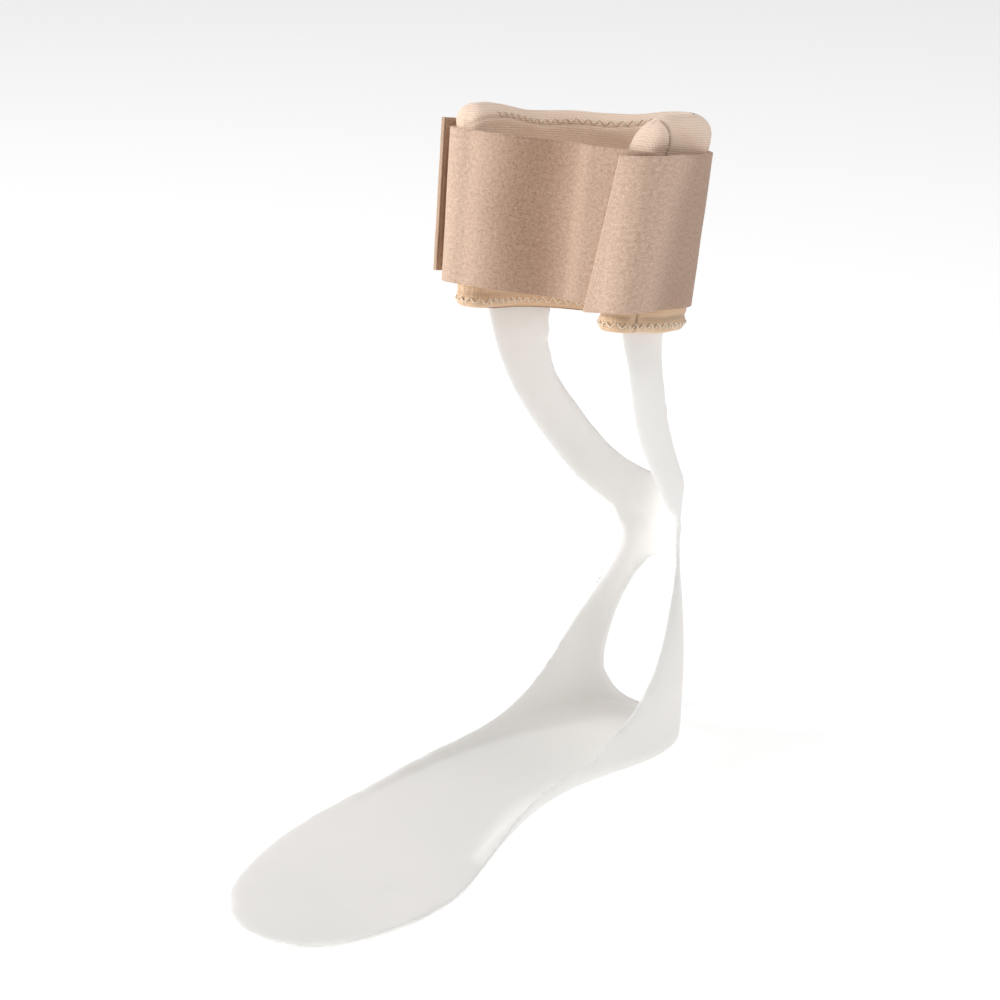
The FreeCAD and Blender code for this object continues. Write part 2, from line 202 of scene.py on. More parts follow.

# %% [markdown]
# The strap is a laminate: a brushed nylon loop face on thin foam. The nap catches the light in fine
# mottled grains about a millimetre across, and the cut edge shows the paler foam. The nap is colour
# and height together, since the raised fibres are also the lighter ones. Over that, a surface attribute
# paints light and shade across the strap, mixing a shaded and a lit copy of the nap colour.

# %% Brushed laminate of the strap
nap_cloth = Finish("brushed_laminate")
at = nap_cloth.node("ShaderNodeTexCoord", None, None, "UV")
grain = nap_cloth.noise(at, 1500.0, 3.0, 0.65)
tuft = nap_cloth.noise(at, 640.0, 2.0, 0.5)
drift = nap_cloth.noise(at, 38.0, 2.0)
fibre = nap_cloth.noise(nap_cloth.node("ShaderNodeVectorMath", {"operation": "MULTIPLY"},
                                       {0: at, 1: (2600, 700, 1)}), 1.0, 2.0)
nap = nap_cloth.span(0.65 * grain + 0.35 * tuft, 0.30, 0.70)
edge = nap_cloth.attribute("edge")
# Painted light and shade: a surface attribute mixes a shaded and a lit copy of the nap colour.
shaded_nap = nap_cloth.mix(nap, srgb(126, 92, 70), srgb(182, 146, 121))
lit_nap = nap_cloth.mix(nap, srgb(188, 152, 128), srgb(238, 210, 189))
painted_light = nap_cloth.attribute("painted_light") + 0.16 * drift - 0.08
cloth = nap_cloth.mix(nap_cloth.span(painted_light, 0, 1), shaded_nap, lit_nap)
brushed_laminate = nap_cloth.finish(
    Base_Color=nap_cloth.mix(edge * 0.85, cloth, srgb(226, 197, 172)),
    Roughness=nap_cloth.span(nap, 0, 1, 0.86, 0.97),
    Normal=nap_cloth.bump(nap + 0.5 * fibre, 0.00035, 0.75),
    Sheen_Weight=0.12, Sheen_Roughness=0.45)
print("made", brushed_laminate.name)

# %% [markdown]
# The pad is covered with two knits. The lining is a fine terry: even ribs a little under a millimetre
# apart, each a row of loops. The cover is smoother and more orange, with closer upright wales. Both
# get painted shade in their seams, where a surface attribute marks the sewn grooves.

# %% Terry and knit of the pad
def ribbed(name, dark, light, rib, loop, depth, along_v):
    """A knit with ribs; rib and loop are their spacings in metres."""
    knit = Finish(name)
    at = knit.node("ShaderNodeTexCoord", None, None, "UV")
    wander = knit.noise(at, 60.0, 2.0)
    split = knit.node("ShaderNodeSeparateXYZ", None, {0: at}, 0)
    u, v = split, Value(knit, split.socket.node.outputs[1])
    across, along = (v, u) if along_v else (u, v)

    def wave(coordinate, spacing, shift):
        turn = coordinate * (2 * math.pi / spacing) + shift
        return 0.5 + 0.5 * knit.node("ShaderNodeMath", {"operation": "SINE"}, {0: turn})

    ribs = wave(across, rib, wander * 3.0)
    loops = wave(along, loop, knit.noise(at, 300.0, 1.0) * 4.0)
    fuzz = knit.noise(at, 1500.0, 3.0, 0.6)
    height = 0.36 * ribs + 0.2 * loops + 0.55 * fuzz
    seam, edge = knit.attribute("seam"), knit.attribute("edge")
    colour = knit.mix(knit.span(height, 0.25, 0.85), dark, light)
    colour = knit.mix(0.25 * knit.span(wander, 0.4, 0.65), colour, dark)
    colour = knit.mix(edge * 0.5, colour, light)
    # Painted shade: the seam mark darkens the knit in its sewn grooves.
    shade = tuple(0.42 * c for c in dark[:3]) + (1,)
    return knit.finish(
        Base_Color=knit.mix(seam, colour, shade), Roughness=knit.span(height, 0, 1, 0.97, 0.88),
        Normal=knit.bump(height, depth, 0.8), Sheen_Weight=0.25, Sheen_Roughness=0.5)


terry = ribbed("ribbed_terry", srgb(226, 193, 168), srgb(252, 230, 210), 0.00095, 0.0008, 0.00025, True)
cover_knit = ribbed("smooth_knit", srgb(214, 178, 143), srgb(240, 208, 175), 0.0009, 0.0011, 0.00018, False)
print("made", terry.name, cover_knit.name)

# %% [markdown]
# Thread is two plies twisted together, paler than the cloth. The hook tape is a moulded nylon strip
# in the same tan, dull and slightly marked by its mould.

# %% Thread and hook tape
ply = Finish("sewing_thread")
at = ply.node("ShaderNodeTexCoord", None, None, "Object")
twist = ply.node("ShaderNodeTexWave", {"wave_type": "BANDS", "bands_direction": "DIAGONAL"},
                 {"Vector": at, "Scale": 900.0, "Distortion": 2.0, "Detail": 1.0})
thread = ply.finish(Base_Color=ply.mix(twist, srgb(244, 224, 196), srgb(255, 247, 230)),
                    Roughness=ply.span(twist, 0, 1, 0.75, 0.6), Normal=ply.bump(twist, 0.0001, 0.6),
                    Sheen_Weight=0.2)
tape = Finish("hook_tape")
at = tape.node("ShaderNodeTexCoord", None, None, "Object")
mould = tape.noise(at, 500.0, 3.0)
hook_tape = tape.finish(Base_Color=tape.mix(mould, srgb(150, 118, 94), srgb(190, 156, 130)),
                        Roughness=tape.span(mould, 0.3, 0.7, 0.42, 0.62),
                        Normal=tape.bump(mould, 0.00008, 0.6))
print("made", thread.name, hook_tape.name)

# %% [markdown]
# ## Meshes
# Most soft pieces here are closed strips: rows of points run along a path, and each row is a closed
# loop round the strip's section. One helper turns such a grid of points into a closed mesh, stores
# the cloth's own coordinates as a UV map in metres, and stores any marks as attributes.

# %% Helpers for closed strips
def new_piece(name, verts, faces, uvs=None, marks=None, finishes=(), face_finish=None):
    """A mesh object at the origin, with smooth faces that point outwards."""
    mesh = bpy.data.meshes.new(name)
    mesh.from_pydata([tuple(v) for v in verts], [], faces)
    if uvs is not None:
        layer = mesh.uv_layers.new(name="cloth")
        layer.data.foreach_set("uv", np.array([uvs[loop.vertex_index] for loop in mesh.loops]).ravel())
    for mark, values in (marks or {}).items():
        mesh.attributes.new(mark, "FLOAT", "POINT").data.foreach_set("value", values)
    if face_finish is not None:
        mesh.polygons.foreach_set("material_index", face_finish)
    made = bmesh.new()
    made.from_mesh(mesh)
    bmesh.ops.remove_doubles(made, verts=made.verts, dist=1e-6)
    bmesh.ops.recalc_face_normals(made, faces=made.faces)
    made.to_mesh(mesh)
    made.free()
    mesh.polygons.foreach_set("use_smooth", [True] * len(mesh.polygons))
    for finish in finishes:
        mesh.materials.append(finish)
    piece = bpy.data.objects.new(name, mesh)
    bpy.context.scene.collection.objects.link(piece)
    print("%-18s %6d faces" % (name, len(mesh.polygons)))
    return piece


def grid_faces(rows, columns, ring=True):
    """Quads between neighbouring rows of points; ring joins the last column to the first."""
    last = columns if ring else columns - 1
    return [(r * columns + c, r * columns + (c + 1) % columns,
             (r + 1) * columns + (c + 1) % columns, (r + 1) * columns + c)
            for r in range(rows - 1) for c in range(last)]


def plan_path(arcs, tail=0.0, step=0.5):
    """Points (x, y), their outward directions and distances along a strap laid over circles."""
    points = []
    for centre, radius, start, stop in arcs:
        count = max(2, int(abs(math.radians(stop - start)) * radius / step))
        for n in range(count + 1):
            a = math.radians(start + (stop - start) * n / count)
            points.append((centre[0] + radius * math.cos(a), centre[1] + radius * math.sin(a)))
    if tail:
        a = math.radians(arcs[-1][3] + (90 if arcs[-1][3] > arcs[-1][2] else -90))
        points.append((points[-1][0] + tail * math.cos(a), points[-1][1] + tail * math.sin(a)))
    points = np.array(points)
    points = points[np.r_[True, np.hypot(*np.diff(points, axis=0).T) > 1e-6]]
    along = np.r_[0, np.cumsum(np.hypot(*np.diff(points, axis=0).T))]
    even = np.linspace(0, along[-1], int(along[-1] / step) + 1)
    points = np.stack([np.interp(even, along, points[:, k]) for k in (0, 1)], 1)
    run = np.gradient(points, axis=0)
    run /= np.hypot(*run.T)[:, None]
    side = 1 if arcs[0][3] > arcs[0][2] else -1
    return points, np.stack([side * run[:, 1], -side * run[:, 0]], 1), even


# %% [markdown]
# ## The moulding
# Foot plate, heel walls, neck and uprights are one sheet of plastic with a rounded, flamed rim. The
# imported model has it in two parts that meet at the neck and has sharp corners at the rims. Copies of
# both are pushed together there, joined by a fine voxel remesh and smoothed, which rounds every
# rim the way a flame does.

# %% Join the two halves of the moulding
NECK = Vector((0, 0.028, 0.093))
BEND_RADIUS, OVERLAP = 0.0131, 0.0012
VOXEL = 0.00105
joined = bmesh.new()
for name in ("foot_shell", "calf_frame"):
    part = bmesh.new()
    part.from_mesh(nodes[name].data)
    bmesh.ops.remove_doubles(part, verts=part.verts, dist=1e-6)
    if name == "calf_frame":
        for v in part.verts:
            from_bend = Vector((0, v.co.y - NECK.y, v.co.z - NECK.z))
            if v.co.z < NECK.z + 0.0001 and from_bend.length < BEND_RADIUS:
                v.co += from_bend.normalized() * OVERLAP
            elif v.co.z < NECK.z + 0.0001:
                v.co.z -= 0.0008
    held = bpy.data.meshes.new("held")
    part.to_mesh(held)
    part.free()
    joined.from_mesh(held)
mesh = bpy.data.meshes.new("moulding")
joined.to_mesh(mesh)
joined.free()
moulding = bpy.data.objects.new("moulding", mesh)
bpy.context.scene.collection.objects.link(moulding)
remesh = moulding.modifiers.new("one_sheet", "REMESH")
remesh.mode, remesh.voxel_size, remesh.use_smooth_shade = "VOXEL", VOXEL, True
rounding = moulding.modifiers.new("flamed_rim", "SMOOTH")
rounding.factor, rounding.iterations = 0.5, 12
mesh = bpy.data.meshes.new_from_object(moulding.evaluated_get(bpy.context.evaluated_depsgraph_get()))
moulding.modifiers.clear()
moulding.data = mesh
print("moulding", len(mesh.polygons), "quads")

# %% [markdown]
# The rim is where the sheet turns sharply, so it is found from the mesh: a point that stands out from
# the average of its neighbours by more than the broad walls do lies on a rim. The value is spread a
# little and kept as an attribute for the paler edge.

# %% Mark the rim
count = len(mesh.vertices)
co, normal = np.zeros(count * 3), np.zeros(count * 3)
mesh.vertices.foreach_get("co", co)
mesh.vertices.foreach_get("normal", normal)
co, normal = co.reshape(-1, 3), normal.reshape(-1, 3)
pair = np.zeros(len(mesh.edges) * 2, int)
mesh.edges.foreach_get("vertices", pair)
pair = pair.reshape(-1, 2)
links = np.bincount(pair.ravel(), minlength=count)


def neighbours(values):
    """The average of each point's neighbours."""
    total = np.zeros_like(values)
    np.add.at(total, pair[:, 0], values[pair[:, 1]])
    np.add.at(total, pair[:, 1], values[pair[:, 0]])
    return total / (links[:, None] if values.ndim > 1 else links)


stand_out = ((co - neighbours(co)) * normal).sum(1) / VOXEL ** 2 * 4
rim_mark = np.clip((stand_out - 150) / 350, 0, 1)
for _ in range(3):
    rim_mark = 0.5 * rim_mark + 0.5 * neighbours(rim_mark)

# %% [markdown]
# The remesh leaves small steps along the sawn rims. The points of a rim are drawn towards their
# neighbours on the rim only, many times over, which straightens its line, and the walls next to it
# follow part of the way. The neck is left alone, since the two bodies meet there, and so is any point
# that would move far.

# %% Even out the rim
on_rim = rim_mark > 0.35
spread = on_rim.astype(float)
for _ in range(12):
    spread = 0.5 * spread + 0.5 * neighbours(spread)
on_rim &= spread > 0.2
rim_pair = pair[on_rim[pair[:, 0]] & on_rim[pair[:, 1]]]
rim_links = np.bincount(rim_pair.ravel(), minlength=count)
on_rim &= rim_links >= 2
rim_links = np.maximum(rim_links, 1)[:, None]
even = co.copy()
for _ in range(60):
    total = np.zeros_like(even)
    np.add.at(total, rim_pair[:, 0], even[rim_pair[:, 1]])
    np.add.at(total, rim_pair[:, 1], even[rim_pair[:, 0]])
    even = np.where(on_rim[:, None], 0.5 * even + 0.5 * total / rim_links, even)
NECK_ROOM, FARTHEST = 0.016, 0.0025
near_neck = np.abs(co[:, 2] - NECK.z) < NECK_ROOM
shift = np.where((on_rim & ~near_neck)[:, None], even - co, 0)
shift[np.linalg.norm(shift, axis=1) > FARTHEST] = 0
own = shift.copy()
for _ in range(10):
    shift = np.where(on_rim[:, None], own, neighbours(shift))
mesh.vertices.foreach_set("co", (co + shift).ravel())
print("rim evened by up to", round(float(np.linalg.norm(shift, axis=1).max()) * 1000, 2), "mm")
mesh.attributes.new("rim", "FLOAT", "POINT").data.foreach_set("value", np.clip(1.6 * rim_mark, 0, 1))
mesh.materials.clear()
mesh.materials.append(milky_plastic)
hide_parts("foot_shell", "calf_frame")
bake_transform(moulding)
print("rim share", round(float(rim_mark.mean()), 3))

# %% [markdown]
# ## The pad
# The pad is a U of foam in a sewn cover, open below for the uprights. It is built as closed loops
# round its middle line: the outside, a round wing end, the lining and the other wing end. The loops
# climb the walls, close over the round top edge, and at the bottom turn up into the pocket. The top
# corners of the wings are rounded, more on the inner side, and nothing is quite straight.

# %% The pad's middle line and outline
MIDDLE, HALF_WALL = 37.75, 7.7
PAD_LOW, PAD_HIGH = 5.0, 87.5
TURN = math.radians(6)
BEND_LENGTH = MIDDLE * (math.pi / 2 + TURN)
INNER_END, OUTER_END = 78.4, -90.5


def on_u(s, n):
    """Point (x, y) at distance s along the middle line from the back, n outwards from it."""
    a, side = abs(s), (1 if s >= 0 else -1)
    angle = math.pi / 2 - min(a, BEND_LENGTH) / MIDDLE
    x, y = (MIDDLE + n) * math.cos(angle), (MIDDLE + n) * math.sin(angle)
    rest = max(0.0, a - BEND_LENGTH)
    return side * (x + rest * math.sin(angle)), y - rest * math.cos(angle)


def pad_loop(half, shift=0.0, low=OUTER_END, high=INNER_END, across=230, cap=30):
    """(s, n) round the pad: outside from low to high, round end, lining, round end."""
    out = [(low + (high - low) * k / across, shift + half) for k in range(across)]
    end = [(high + half * math.sin(math.pi * k / cap), shift + half * math.cos(math.pi * k / cap))
           for k in range(cap)]
    back = [(high + (low - high) * k / across, shift - half) for k in range(across)]
    other = [(low - half * math.sin(math.pi * k / cap), shift - half * math.cos(math.pi * k / cap))
             for k in range(cap)]
    return out + end + back + other


def inner_end(z):
    """Where the inner wing ends: its edge leans back above the strap."""
    return INNER_END - 6.0 * smooth((z - 45) / 32)


def outer_end(z):
    """Where the outer wing ends: it is cut back below the strap."""
    return OUTER_END + 8.0 * smooth((24 - z) / 8)


def pad_top(s):
    """Height of the top edge: fuller on the inner side, rounded at the wings, with a slow wave."""
    top = PAD_HIGH - 0.5 + 0.5 * math.sin(s / 17 + 0.6) + 0.3 * math.sin(s / 7.3)
    top += 4.6 * smooth((s + 25) / 60) - 1.2 * math.exp(-((s + 52) / 16) ** 2)
    for room, radius in ((inner_end(99) + HALF_WALL - s, 19.0), (s - OUTER_END + HALF_WALL, 6.0)):
        d = min(max(0.0, radius - room), radius)
        top -= radius - math.sqrt(radius * radius - d * d)
    return top


print("pad runs", round(INNER_END - OUTER_END, 1), "mm round the calf")

# %% [markdown]
# Each wing end is boxed: a narrow ribbed panel wraps the end, and a sewn groove parts it from the
# outer cover, a little behind the round end. The groove is pressed into the points and kept as a mark
# for painted shade along it. Terry covers the lining side, the top and the ends, and the smoother knit
# shows at the foot of the pad.

# %% Build the pad
WING_SEAM = 3.0
HEM_STITCH, ROLL_STITCH = 3.2, 3.6
SOFT_TOP, LOW_ROUND = HALF_WALL, 2.6
levels = []
for k in range(6):
    a = math.pi / 2 * k / 5
    levels.append(("low", HALF_WALL - LOW_ROUND * (1 - math.sin(a)), LOW_ROUND * (1 - math.cos(a)), 0.0))
for k in range(1, 46):
    levels.append(("wall", HALF_WALL, 0.0, k / 45))
for k in range(1, 15):
    a = math.pi / 2 * k / 14
    levels.append(("top", HALF_WALL * math.cos(a), SOFT_TOP * math.sin(a), 1.0))

points, uvs, seams, edges = [], [], [], []
pocket = [(2.9, 68.5), (2.9, 40.0), (2.9, 12.0), (3.3, 5.6), (4.0, PAD_LOW)]
for half, height in [(0.0, 68.8)] + pocket:
    for s, n in pad_loop(half, -2.85, -74.5, 74.5):
        points.append(cuff(*on_u(s, n), height))
        uvs.append((s / 1000, height / 1000))
        seams.append(0.0)
        edges.append(0.0)
for kind, half, rise, share in levels:
    wing, far_wing = inner_end(PAD_LOW + 75 * share), outer_end(PAD_LOW + 75 * share)
    for s, n in pad_loop(half, low=far_wing, high=wing):
        shoulder = pad_top(s) - SOFT_TOP
        base = PAD_LOW + LOW_ROUND
        if kind == "low":
            z = PAD_LOW + rise
        else:
            z = base + (shoulder - base) * share + rise
        x, y = on_u(s, n)
        out = Vector((on_u(s, n + 1)[0] - x, on_u(s, n + 1)[1] - y))
        puff = 0.45 * noise.noise(Vector((s / 9, n / 6, z / 9)))
        puff += 0.15 * noise.noise(Vector((s / 3, n / 3, z / 3)))
        puff *= 1 - 0.9 * math.exp(-((z - PAD_LOW - HEM_STITCH) / 3) ** 2) - (
            0.9 * math.exp(-((z - pad_top(s) + ROLL_STITCH) / 2.5) ** 2) if n < 0 else 0)
        inward = 1 if n > 0 else -1
        seam = 0.0
        for end, sign in ((wing, 1), (far_wing, -1)):
            if n > 0:
                beside = (s - end + sign * WING_SEAM) / 0.45
                seam = max(seam, math.exp(-beside ** 2) * smooth((n - 0.5) / 2))
        hem = math.exp(-((z - PAD_LOW - 6.2) / 0.5) ** 2)
        roll = math.exp(-((z - pad_top(s) + 5.2) / 0.5) ** 2) if n < 0 else 0.0
        groove = max(0.9 * seam, 0.7 * hem, 0.45 * roll)
        squeeze = 0.35 * smooth((z - 13) / 4) * smooth((80 - z) / 4) if n > 0 else 0.0
        push = inward * (puff - groove - squeeze)
        sway = 0.3 * noise.noise(Vector((s / 11, 5, n / 9)))
        points.append(cuff(x + out.x * push, y + out.y * push, z + sway))
        uvs.append((s / 1000 + (0 if n > 0 else 0.3), z / 1000))
        # The seam mark is painted shade in the sewn grooves: the wing seams, the hem and the top roll.
        seams.append(min(1.0, 0.95 * seam + 0.5 * hem + 0.25 * roll))
        edges.append(0.4 * smooth((z - pad_top(s) + 7) / 5))
columns = len(pad_loop(1.0))
rows = len(points) // columns
faces = grid_faces(rows, columns)
knit_rows = len(pocket) + 1 + 6 + 4
which = [1 if f // columns < knit_rows else 0 for f in range(len(faces))]
pad = new_piece("calf_pad", points, faces, uvs, {"seam": seams, "edge": edges}, (terry, cover_knit), which)
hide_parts("pad_foam", "pad_lining", "pad_cover", "pad_top_roll", "medial_wing_end",
            "lateral_wing_end", "pad_hem_outer", "pad_hem_inner")
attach(pad, "pad_body")

# %% [markdown]
# ## The strap
# Two lengths of laminate hold the cuff. The belt starts as the free pull flap on the outer side, runs
# round the back and ends over the inner wing with a slanted edge. The front strap is anchored under
# that edge, crosses the opening, and turns round the outer wing. Flat straps keep their cut edges,
# so they are built directly as grids and not by a simulation.

# %% A strap along a path
WEB = 1.8


def strap(name, path, low, height, start, stop, bow, painted_light, lift=None):
    """Closed strip of laminate. start and stop give its ends by height; bow moves it out or in, lift
    moves it up, and one more function of s and z gives the painted light and shade on its nap."""
    spots, outs, along = path
    length = along[-1]
    rows = int(length / 1.1)
    corner = [(1, 0.12), (0.82, 0.03), (0.5, 0.0), (0.18, 0.03), (0, 0.12)]
    section = [(1, 0.12 + (height - 0.24) * k / 44, 0) for k in range(45)]
    section += [(depth, height - gap, 1) for depth, gap in corner[1:-1]]
    section += [(0, height - 0.12 - (height - 0.24) * k / 44, 0) for k in range(45)]
    section += [(depth, gap, 1) for depth, gap in reversed(corner[1:-1])]
    verts, uvs, edges, painted_lights = [], [], [], []
    middle_steps = [1.1 + (rows - 2.2) * k / (rows - 3) for k in range(rows - 2)]
    steps = [0.0, 0.1, 0.5] + middle_steps + [rows - 0.5, rows - 0.1, rows]
    for step in steps:
        pinch = 0.55 if step in (0.0, rows) else (0.15 if step in (0.1, rows - 0.1) else 0.0)
        for depth, z, is_edge in section:
            a, b = start(z), stop(z)
            s = min(max(a + (b - a) * step / rows, 0), length)
            x, y = (np.interp(s, along, spots[:, k]) for k in (0, 1))
            nx, ny = (np.interp(s, along, outs[:, k]) for k in (0, 1))
            d = (depth - 0.5) * (1 - pinch) + 0.5
            push = d * WEB + bow(s, z)
            up = low + z + (lift(s) if lift else 0)
            verts.append(cuff(x + nx * push, y + ny * push, up))
            uvs.append((s / 1000 + (0 if depth > 0.5 else 0.4), z / 1000))
            edges.append(1.0 if is_edge or step < 0.3 or step > rows - 0.3 else 0.0)
            painted_lights.append(painted_light(s, z))
    n = len(section)
    faces = grid_faces(len(steps), n)
    for row in (0, len(steps) - 1):
        for k in range(44):
            faces.append((row * n + k, row * n + k + 1, row * n + 91 - k, row * n + 92 - k))
        faces.append(tuple(row * n + k for k in (44, 45, 46, 47, 48)))
        faces.append(tuple(row * n + k for k in (92, 93, 94, 95, 0)))
    made = new_piece(name, verts, faces, uvs, {"edge": edges, "painted_light": painted_lights}, (brushed_laminate,))
    return made, verts


# %% [markdown]
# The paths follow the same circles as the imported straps: the pad's outside, and round each wing. The
# belt's slanted end sits on a line that leans across the front.

# %% Strap paths
PAD_OUTER = 45.5
wing_half = 15.5 / 2 / math.cos(TURN)


def wing_middle(front, side):
    """Middle of a wing's end, from how far forward it reaches."""
    return side * (MIDDLE * math.cos(TURN) - (front - MIDDLE * math.sin(TURN)) * math.tan(TURN)), -front


inner_wing, outer_wing = wing_middle(19, 1), wing_middle(31, -1)
slope = math.atan2(inner_wing[1] - outer_wing[1], inner_wing[0] - outer_wing[0])
slope_deg = math.degrees(slope)
band_r = wing_half + 0.3
wrap_r = band_r + WEB + 0.8
wrap_turn = math.degrees(math.atan2(inner_wing[1], inner_wing[0])
                         + math.acos((PAD_OUTER - wrap_r) / math.hypot(*inner_wing)))
STRAP_LOW, STRAP_HEIGHT = 15.0, 62.0
FLAP = 33.5


def edge_x(z):
    """x of the belt's slanted end at a height above the strap's lower edge."""
    return 27.5 + 9.5 * z / STRAP_HEIGHT


def distance_at_x(path, x):
    """Distance along a path's last stretch where it passes a given x."""
    spots, _, along = path
    last = np.nonzero(along > along[-1] - 26)[0]
    return float(np.interp(-x, -spots[last, 0], along[last]))


round_back = plan_path([((0, 0), PAD_OUTER, 180, wrap_turn),
                        (inner_wing, wrap_r, wrap_turn, slope_deg - 90)], 24)
spots, outs, along = round_back
flap_steps = np.linspace(FLAP, 0.5, 67)
flap_spots = np.stack([np.full(67, -PAD_OUTER) - 0.2 - 3.0 * (flap_steps / FLAP) ** 1.2, -flap_steps], 1)
flap_outs = np.stack([np.full(67, -1.0), 0.09 * flap_steps / FLAP], 1)
belt_path = (np.vstack([flap_spots, spots]), np.vstack([flap_outs, outs]),
             np.r_[FLAP - flap_steps, along + FLAP])
print("belt length", round(float(belt_path[2][-1]), 1), "mm")

# %% [markdown]
# The belt is one piece with its flap, and its inner end reaches as far forward as the flap does. How
# far a place lies from the slanted end sets how much the belt swells over the inner wing.

# %% Belt with pull flap
def to_end(s, z):
    """How far a place on the belt is from its slanted end."""
    return distance_at_x(belt_path, edge_x(z)) - s


def wrap_swell(s, z):
    """The belt swells a little over the inner wing and comes down again to its free end."""
    left = to_end(s, z)
    return 3.0 * smooth(left / 20) * smooth((52 - left) / 28) + 0.035 * (z - 31) * smooth((60 - left) / 30)


belt, _ = strap("belt", belt_path, STRAP_LOW, STRAP_HEIGHT,
                lambda z: 0.0, lambda z: distance_at_x(belt_path, edge_x(z)),
                bow=lambda s, z: 0.25 * noise.noise(Vector((s / 18, z / 20, 3))) + wrap_swell(s, z),
                # Painted light and shade on the nap: darkest on the flap, lighter round the back, lightest
                # over the inner wing.
                painted_light=lambda s, z: 0.3 + 0.2 * smooth((s - 60) / 40) + 0.6 * smooth((40 - to_end(s, z)) / 24),
                lift=lambda s: 3.0 * smooth((FLAP + 6 - s) / 24) - 3.5 * smooth((s - FLAP - 150) / 45))
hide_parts("strap_belt", "strap_flap")
cuff(-50.5, -4.5, 46)
cuff(-44.0, 2.0, 46)
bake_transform(belt)

# %% [markdown]
# Nothing is behind the front strap between the wings, so it is not quite flat there: it swells next to
# the outer wing and dips before it goes under the belt.

# %% Front strap
front_path = plan_path([(outer_wing, band_r, 180 + 6, 270 + slope_deg),
                        (inner_wing, band_r, 270 + slope_deg, 360 - 6)])
front_length = float(front_path[2][-1])
straight_from = band_r * math.radians(84 + slope_deg)
straight_to = front_length - band_r * math.radians(84 - slope_deg)


def across_front(s):
    """0 where the front strap leaves the outer wing, 1 where it goes under the belt."""
    return min(max((s - straight_from) / (straight_to - 14 - straight_from), 0), 1)


def wave(s, z):
    """The front strap swells near the outer wing and dips before it goes under the belt."""
    t = across_front(s)
    calm = smooth(t / 0.15) * smooth((1 - t) / 0.15)
    ripple = 0.2 * noise.noise(Vector((s / 15, z / 25, 9)))
    return 2.6 * calm * math.sin(2 * math.pi * t) - 1.2 * calm + ripple


def front_painted_light(s, z):
    """Painted light and shade on the front strap: dark in the middle and light towards both wings."""
    t = across_front(s) + 0.03 * noise.noise(Vector((s / 20, z / 20, 1)))
    return 0.98 - 0.80 * smooth(t / 0.55) + 0.50 * smooth((t - 0.6) / 0.4)


front, _ = strap("front_strap", front_path, STRAP_LOW, STRAP_HEIGHT,
                 lambda z: 0.0, lambda z: front_length, bow=wave, painted_light=front_painted_light)
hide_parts("strap_band", "strap_anchor")
hinge = [j for j in frame["joints"] if j["name"] == "strap_open"][0]
axis = Vector(hinge["axis"]).normalized()
across = math.cos(slope) * CUFF_SIDE + math.sin(slope) * CUFF_BACK
across = (across - axis * across.dot(axis)).normalized()
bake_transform(front)

# %% [markdown]
# ## Fastening and sewing
# The hook patches are thin tape with rows of tiny moulded hooks. Geometry Nodes puts one hook on each
# point of a grid, stands it on the surface and joins them all, so the count and the spacing follow
# from the patch's size.

# %% A node tree helper
def geometry_tree(name, sizes):
    """A new tree with a geometry input, named number inputs and a geometry output."""
    tree = bpy.data.node_groups.new(name, "GeometryNodeTree")
    tree.interface.new_socket("Geometry", in_out="INPUT", socket_type="NodeSocketGeometry")
    tree.interface.new_socket("Geometry", in_out="OUTPUT", socket_type="NodeSocketGeometry")
    for label in sizes:
        tree.interface.new_socket(label, in_out="INPUT", socket_type="NodeSocketFloat")
    start, end = tree.nodes.new("NodeGroupInput"), tree.nodes.new("NodeGroupOutput")

    def add(kind, values=None, **settings):
        node = tree.nodes.new(kind)
        for key, value in settings.items():
            setattr(node, key, value)
        for key, value in (values or {}).items():
            if isinstance(value, bpy.types.NodeSocket):
                tree.links.new(value, node.inputs[key])
            else:
                node.inputs[key].default_value = value
        return node

    return tree, start, end, add


def run_tree(name, carrier, tree, sizes, body, nodes_stood_for=()):
    """Put the tree on a carrier mesh, keep the result as a plain mesh and let it ride on a body."""
    modifier = carrier.modifiers.new("made", "NODES")
    modifier.node_group = tree
    for item in tree.interface.items_tree:
        if item.in_out == "INPUT" and item.name in sizes:
            modifier[item.identifier] = sizes[item.name]
    mesh = bpy.data.meshes.new_from_object(carrier.evaluated_get(bpy.context.evaluated_depsgraph_get()))
    bpy.data.objects.remove(carrier)
    piece = bpy.data.objects.new(name, mesh)
    bpy.context.scene.collection.objects.link(piece)
    mesh.polygons.foreach_set("use_smooth", [True] * len(mesh.polygons))
    if nodes_stood_for:
        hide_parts(*nodes_stood_for)
    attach(piece, body)
    print("%-18s %6d faces" % (name, len(mesh.polygons)))
    return piece


# %% Hook rows
hook_tree, start, end, add = geometry_tree("hook_rows", ["Hook height", "Hook lean", "Hook thickness"])
join = add("ShaderNodeCombineXYZ", {2: start.outputs["Hook height"]})
tip = add("ShaderNodeCombineXYZ", {0: start.outputs["Hook lean"], 2: start.outputs["Hook height"]})
bent = add("GeometryNodeCurveQuadraticBezier",
           {"Resolution": 3, "Start": (0, 0, 0), "Middle": join.outputs[0], "End": tip.outputs[0]})
round_section = add("GeometryNodeCurvePrimitiveCircle",
                    {"Resolution": 4, "Radius": start.outputs["Hook thickness"]})
hook = add("GeometryNodeCurveToMesh", {"Curve": bent.outputs[0], "Profile Curve": round_section.outputs[0],
                                       "Fill Caps": True})
facing = add("GeometryNodeInputNormal")
stand = add("FunctionNodeAlignRotationToVector", {"Vector": facing.outputs[0]}, axis="Z")
place = add("GeometryNodeInstanceOnPoints", {"Points": start.outputs["Geometry"], "Instance": hook.outputs[0],
                                             "Rotation": stand.outputs[0]})
real = add("GeometryNodeRealizeInstances", {0: place.outputs[0]})
paint = add("GeometryNodeSetMaterial", {"Geometry": real.outputs[0], "Material": hook_tape})
hook_tree.links.new(paint.outputs[0], end.inputs[0])


